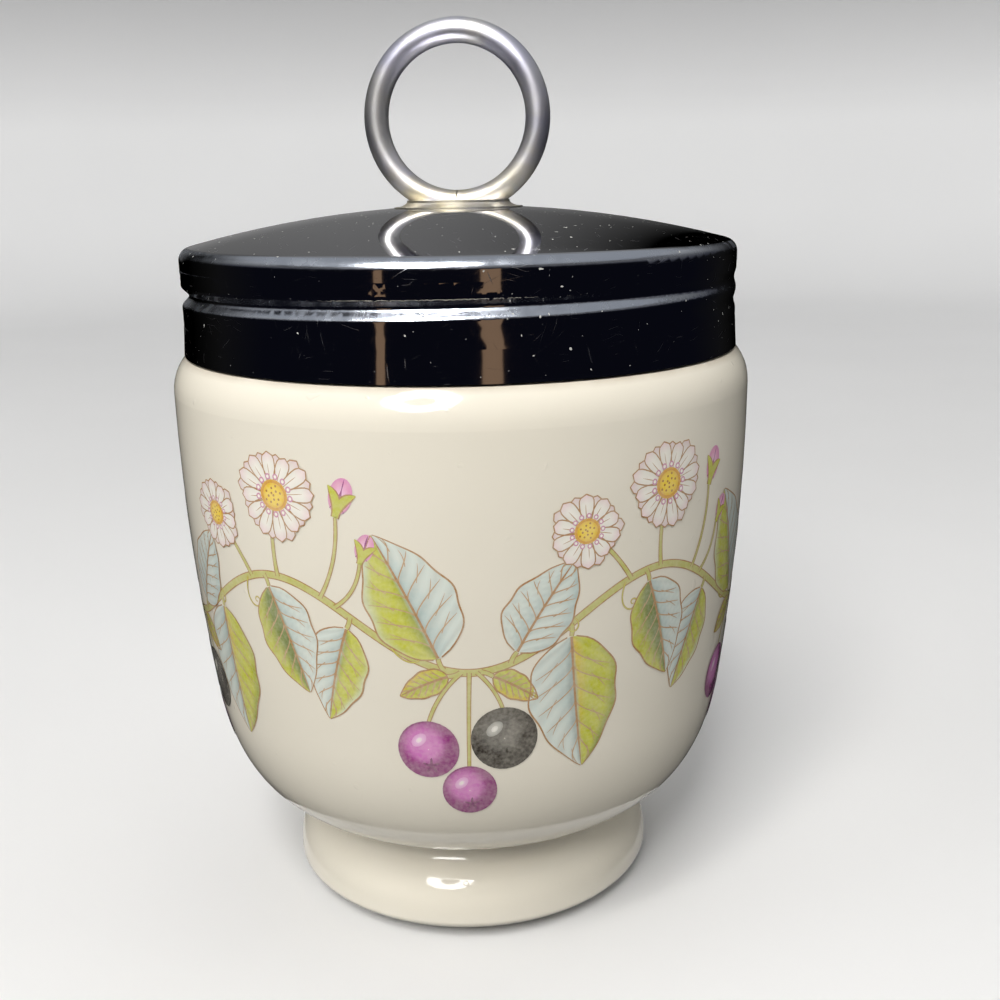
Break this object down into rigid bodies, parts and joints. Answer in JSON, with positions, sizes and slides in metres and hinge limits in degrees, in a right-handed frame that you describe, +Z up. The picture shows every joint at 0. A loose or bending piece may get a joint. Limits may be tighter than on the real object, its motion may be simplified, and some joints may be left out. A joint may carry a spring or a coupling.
{
  "type": "egg coddler",
  "caption": "Footed porcelain egg coddler with a chromed screw-on lid and a finger ring to lift it out of hot water.",
  "frame": {"origin": "on the pot's axis, in the plane that the foot stands on", "axes": "+Z up along the pot's axis; the finger ring lies in the XZ plane"},
  "size_m": [0.07, 0.07, 0.1071],
  "materials": {
    "porcelain": "glossy glaze over ivory porcelain",
    "lid_chrome": "polished chrome plate with fine scratches",
    "ring_chrome": "polished chrome plate, slightly worn",
    "washer_steel": "dull plated steel"
  },
  "bodies": {
    "pot": {"foot_ring": "porcelain", "pot_bowl": "porcelain"},
    "lid_carrier": {"stud_washer": "washer_steel"},
    "lid": {"lid_cap": "lid_chrome", "finger_ring": "ring_chrome", "ring_base": "ring_chrome"}
  },
  "joints": [
    {"name": "lid_lift", "type": "slide", "parent": "pot", "child": "lid_carrier", "axis": [0, 0, 1], "range_m": [0, 0.015]},
    {"name": "lid_turn", "type": "hinge", "parent": "lid_carrier", "child": "lid", "pos_m": [0, 0, 0.08], "axis": [0, 0, 1], "range_deg": [0, 2160]}
  ],
  "couplings": [
    {"joint": "lid_lift", "follows": "lid_turn", "m_per_rad": 0.00039789}
  ]
}
